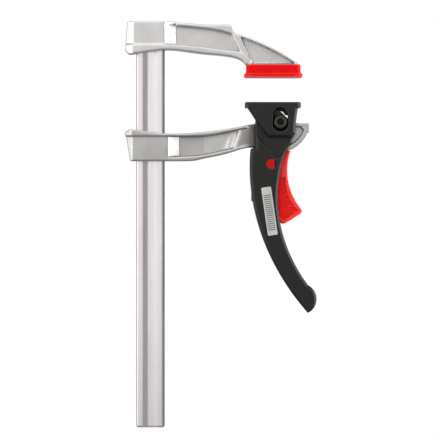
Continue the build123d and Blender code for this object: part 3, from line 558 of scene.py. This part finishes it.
ARM_ONLY = {"joined": shoulders(), "crisp_from": 10 * MM}  # its head stays crisp
SKINS = (  # node, piece, grid in mm, roundings, most faces, finish, body, slot, and what only the arm has
    ("fixed_jaw", "fixed_jaw_casting", 0.3, 18, 190000, jaw_alloy, "bar", "cast_metal", {}),
    ("sliding_arm", "sliding_arm_casting", 0.3, 18, 190000, shaded_arm_alloy, "arm", "cast_metal", ARM_ONLY),
    ("lever", "lever_moulding", 0.35, 7, 180000, nylon, "lever", "black_plastic", {}),
    ("pressure_plate", "pressure_plate_moulding", 0.3, 4, 80000, nylon, "plate", "black_plastic", {}),
    ("jaw_cap", "jaw_cap_moulding", 0.3, 4, 60000, cap_red, "bar", "red_plastic", {}),
    ("trigger", "trigger_moulding", 0.3, 3, 80000, trigger_red, "trigger", "red_plastic", {}),
)
for node, name, grid, rounds, faces, finish, body, slot, more in SKINS:
    skin_of(node, name, grid * MM, rounds, faces, finish, body, slot, **more)


# ---------------------------------------------------------------- rail

OUTLINE_STEP = 0.12 * MM
OUTLINE_ROUNDS = 75
END_CHAMFER = 1.0 * MM  # across the rail's width
CHAMFER_IN_DEPTH = 0.3  # of that, across its thickness
CHAMFER_RISE = 1.2 * MM


def drawn_bar():
    """The rail with the eased corners that a drawing die leaves: its section, rounded, run down it."""
    points = read(nodes["rail"].data, "vertices", "co", 3).astype(float)
    low, high = points[:, 2].min(), points[:, 2].max()
    end = np.unique(points[points[:, 2] > high - 0.001 * MM][:, :2].round(6), axis=0)
    front, rear = end[end[:, 1] < 0], end[end[:, 1] > 0]
    corners = np.vstack([front[np.argsort(front[:, 0])], rear[np.argsort(-rear[:, 0])]])
    steps = np.linalg.norm(np.roll(corners, -1, 0) - corners, axis=1)
    along = np.concatenate([[0], steps.cumsum()])
    at = np.arange(0, along[-1], OUTLINE_STEP)
    closed = np.vstack([corners, corners[:1]])
    outline = np.stack([np.interp(at, along, closed[:, axis]) for axis in (0, 1)], 1)
    for _ in range(OUTLINE_ROUNDS):
        outline = 0.5 * outline + 0.25 * (np.roll(outline, 1, 0) + np.roll(outline, -1, 0))
    middle = outline.mean(0)
    half = np.abs(outline - middle).max(0)
    eased = middle + (outline - middle) * (1 - END_CHAMFER / half * (1, CHAMFER_IN_DEPTH))
    levels = [
        (outline, high),
        (outline, low + 3 * MM),
        (outline, low + CHAMFER_RISE + 0.2 * MM),
        (outline, low + CHAMFER_RISE),
        (eased, low + 0.1 * MM),
        (eased, low),
    ]
    count = len(outline)
    rings = [np.column_stack([section, np.full(count, height)]) for section, height in levels]
    rings += [rings[0], rings[-1]]  # the flat ends have points of their own, so that their rims stay crisp
    faces = []
    for level in range(len(levels) - 1):
        first = level * count
        for i in range(count):
            following = (i + 1) % count
            faces.append((first + i, first + count + i, first + count + following, first + following))
    upper, lower = len(levels) * count, (len(levels) + 1) * count
    faces += [tuple(range(upper, upper + count)), tuple(range(lower + count - 1, lower - 1, -1))]
    mesh = bpy.data.meshes.new("drawn_bar")
    mesh.from_pydata(np.vstack(rings).tolist(), [], faces)
    mesh.polygons.foreach_set("use_smooth", [len(f) == 4 for f in faces])
    mesh.materials.append(steel)
    bar = piece_of(mesh, "drawn_bar")
    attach(bar, "bar")
    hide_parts("rail")


drawn_bar()


# ---------------------------------------------------------------- label and grip bars


def rounded_outline(middle, across, down, width, length, corner, steps=5):
    """Points of an upright rectangle with rounded corners, as X and Z, anticlockwise from the front."""
    points = []
    for quarter, (side, end) in enumerate(((1, -1), (-1, -1), (-1, 1), (1, 1))):
        for step in range(steps + 1):
            turn = math.radians(90 * (quarter + step / steps))
            u = side * (width / 2 - corner) + corner * math.cos(turn)
            v = end * (length / 2 - corner) - corner * math.sin(turn)
            points.append(tuple(middle[i] + across[i] * u + down[i] * v for i in (0, 1)))
    return points


def raised_piece(name, pads, finish, body):
    """A piece of thin pads, each a list of outlines with the Y that each lies at, innermost first."""
    points, faces = [], []
    for levels in pads:
        start = len(points)
        count = len(levels[0][0])
        for outline, depth in levels:
            points += [(x, depth, z) for x, z in outline]
        forward = levels[0][1] > levels[-1][1]
        for level in range(len(levels) - 1):
            low = start + level * count
            for i in range(count):
                following = (i + 1) % count
                ring = (low + i, low + following, low + count + following, low + count + i)
                faces.append(ring if forward else ring[::-1])
        last = tuple(range(start + (len(levels) - 1) * count, start + len(levels) * count))
        first = tuple(range(start, start + count))
        faces.append(last if forward else last[::-1])
        faces.append(first[::-1] if forward else first)
    mesh = bpy.data.meshes.new(name)
    mesh.from_pydata(points, [], faces)
    mesh.materials.append(finish)
    piece = piece_of(mesh, name)
    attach(piece, body)


GRIP_FACE = -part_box("lever")[1].y  # the grip's front face
LABEL_CORNER = 0.8 * MM
LABEL_LAYERS = ((0, -0.06 * MM), (0, 0.06 * MM), (0.08 * MM, 0.10 * MM))  # inset, and rise off the grip

label_middle = tuple(LABEL_TOP[i] + LABEL_DOWN[i] * LABEL_LENGTH / 2 for i in (0, 1))
label_levels = []
for inset, rise in LABEL_LAYERS:
    size = (LABEL_WIDTH - inset, LABEL_LENGTH - inset)
    label_outline = rounded_outline(label_middle, LABEL_ACROSS, LABEL_DOWN, *size, LABEL_CORNER)
    label_levels.append((label_outline, GRIP_FACE - rise))
raised_piece("grip_label", [label_levels], film, "lever")

PANEL_FLOOR = 5.9 * MM  # the trigger's sunk panels, from the mid-plane
GRIP_BAR_HEIGHT = 1.3  # mm
GRIP_BARS = (  # left end, right end and middle height of each bar, in mm
    (6.9, 10.6, -82.2),
    (7.6, 12.0, -86.2),
    (8.4, 13.8, -90.4),
    (9.6, 16.2, -94.7),
    (11.0, 18.0, -99.0),
)
GRIP_BAR_LAYERS = (  # inset, rise off the panel's floor, and corner radius, in mm
    (0, -0.2, 0.6),
    (0, 0.15, 0.6),
    (0.3, 0.42, 0.45),
    (0.8, 0.50, 0.2),
)
bar_pads = []
for side in (-1, 1):
    for left, right, height in GRIP_BARS:
        bar_middle = ((left + right) / 2 * MM, height * MM)
        bar_levels = []
        for inset, rise, corner in GRIP_BAR_LAYERS:
            size = ((right - left - inset) * MM, (GRIP_BAR_HEIGHT - inset) * MM)
            bar_outline = rounded_outline(bar_middle, (1, 0), (0, -1), *size, corner * MM)
            bar_levels.append((bar_outline, side * (PANEL_FLOOR + rise * MM)))
        bar_pads.append(bar_levels)
raised_piece("trigger_grip_bars", bar_pads, trigger_red, "trigger")


# ---------------------------------------------------------------- small hardware

FINISH_OF_NODE = {
    "jaw_roll_pin": pin_steel,
    "upper_grip_pin": pin_steel,
    "lower_grip_pin": pin_steel,
    "friction_spring": pin_steel,
    "pivot_bolt": oxide,
    "pivot_nut": oxide,
}
for name, finish in FINISH_OF_NODE.items():
    mesh = nodes[name].data
    for place in range(len(mesh.materials)):
        mesh.materials[place] = finish


def trigger_coil():
    """The trigger's spring, as in CAD, riding with the lever, where it has its seat."""
    coil = piece_of(nodes["trigger_spring"].data.copy(), "trigger_coil")
    coil.data.materials.clear()
    coil.data.materials.append(pin_steel)
    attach(coil, "lever")
    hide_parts("trigger_spring")
    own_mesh(coil)


trigger_coil()


# ---------------------------------------------------------------- studio

FLOOR_HEIGHT = -0.40  # clear of the lever when the arm is slid all the way down
FLOOR_RADIUS = 1.5
FLOOR_THINS = (0.35, 1.45)  # from here out to there, in metres from its middle, the paper goes clear
FLOOR_RINGS = 12
FLOOR_SPOKES = 64


def floor_mesh():
    """A flat round, in rings of squares about a ring of triangles."""
    points = [(0.0, 0.0, 0.0)]
    for ring in range(1, FLOOR_RINGS + 1):
        out = FLOOR_RADIUS * ring / FLOOR_RINGS
        turns = [2 * math.pi * spoke / FLOOR_SPOKES for spoke in range(FLOOR_SPOKES)]
        points += [(out * math.cos(turn), out * math.sin(turn), 0.0) for turn in turns]
    faces = []
    for spoke in range(FLOOR_SPOKES):
        following = (spoke + 1) % FLOOR_SPOKES
        faces.append((0, 1 + spoke, 1 + following))
        for ring in range(FLOOR_RINGS - 1):
            inner, outer = 1 + ring * FLOOR_SPOKES, 1 + (ring + 1) * FLOOR_SPOKES
            faces.append((inner + spoke, outer + spoke, outer + following, inner + following))
    mesh = bpy.data.meshes.new("floor")
    mesh.from_pydata(points, [], faces)
    return mesh


def studio_floor():
    """Pale matt paper that keeps the clamp's soft shadow and thins out into the white round it."""
    floor = piece_of(floor_mesh(), "floor")
    floor.location = (0, 0, FLOOR_HEIGHT)
    material, tree, place = new_finish("pale_matt_paper")
    distance = add(tree, "VectorMath", [place], "Value", operation="LENGTH")
    mirrored = add(tree, "LightPath", out="Is Glossy Ray")
    shade = add(tree, "Mix", {0: mirrored, 6: linear("#EDEDED"), 7: linear("#8C8C8C")}, **COLOUR)
    clearness = add(tree, "MapRange", [distance, *FLOOR_THINS, 0, 1])
    paper = add(tree, "BsdfDiffuse", {"Color": shade})
    clear = add(tree, "BsdfTransparent")
    add(tree, "OutputMaterial", {"Surface": add(tree, "MixShader", [clearness, paper, clear])})
    floor.data.materials.append(material)


ROOM_TURNS = (-0.30, 0.30)  # Y of a direction: front shade below the first, rear shade past the second
ROOM_FRONT, ROOM_REAR = 0.36, 0.6  # strengths, as metal mirrors them
FILL = 0.42  # strength, as it falls on the clamp from all round


def studio_world():
    """White to the camera; a soft grey room to the clamp, a little paler behind it than in front."""
    world = bpy.data.worlds.new("studio")
    bpy.context.scene.world = world
    world.use_nodes = True
    tree = world.node_tree
    tree.nodes.clear()
    way = add(tree, "TexCoord", out="Generated")
    to_rear = add(tree, "SeparateXYZ", [way], "Y")
    room = add(tree, "MapRange", [to_rear, *ROOM_TURNS, ROOM_FRONT, ROOM_REAR])
    mirrored, fill, white = (
        add(tree, "Background", {"Color": linear("#FFFFFF"), "Strength": strength})
        for strength in (room, FILL, 1.0)
    )
    glossy, seen, through = (
        add(tree, "LightPath", out=f"Is {ray} Ray") for ray in ("Glossy", "Camera", "Transmission")
    )
    to_eye = add(tree, "Math", [seen, through], operation="MAXIMUM")
    lit = add(tree, "MixShader", [glossy, fill, mirrored])
    add(tree, "OutputWorld", {"Surface": add(tree, "MixShader", [to_eye, lit, white])})


MIDDLE = (-0.04, 0, -0.10)  # what the lamps are turned to


def softbox(name, place, width, height, brightness):
    """A soft rectangular lamp turned to face the clamp; at brightness 1 a mirror shows it as plain white."""
    data = bpy.data.lights.new(name, "AREA")
    data.shape = "RECTANGLE"
    data.size = width
    data.size_y = height
    data.energy = brightness * math.pi * width * height
    lamp = piece_of(data, name)
    lamp.location = place
    lamp.rotation_euler = (Vector(MIDDLE) - Vector(place)).to_track_quat("-Z", "Y").to_euler()
    lamp.visible_camera = False


studio_floor()
studio_world()
softbox("left_side_box", (-1.12, -0.37, 0.0), 1.06, 1.3, 2.05)
softbox("right_side_box", (1.1, -0.25, -0.05), 1.1, 1.4, 4.1)
softbox("top_box", (-0.15, -0.72, 1.1), 1.6, 1.9, 1.08)
softbox("front_box", (-0.68, -1.80, 0.22), 2.1, 1.3, 0.77)

bpy.context.scene.view_settings.view_transform = "Standard"
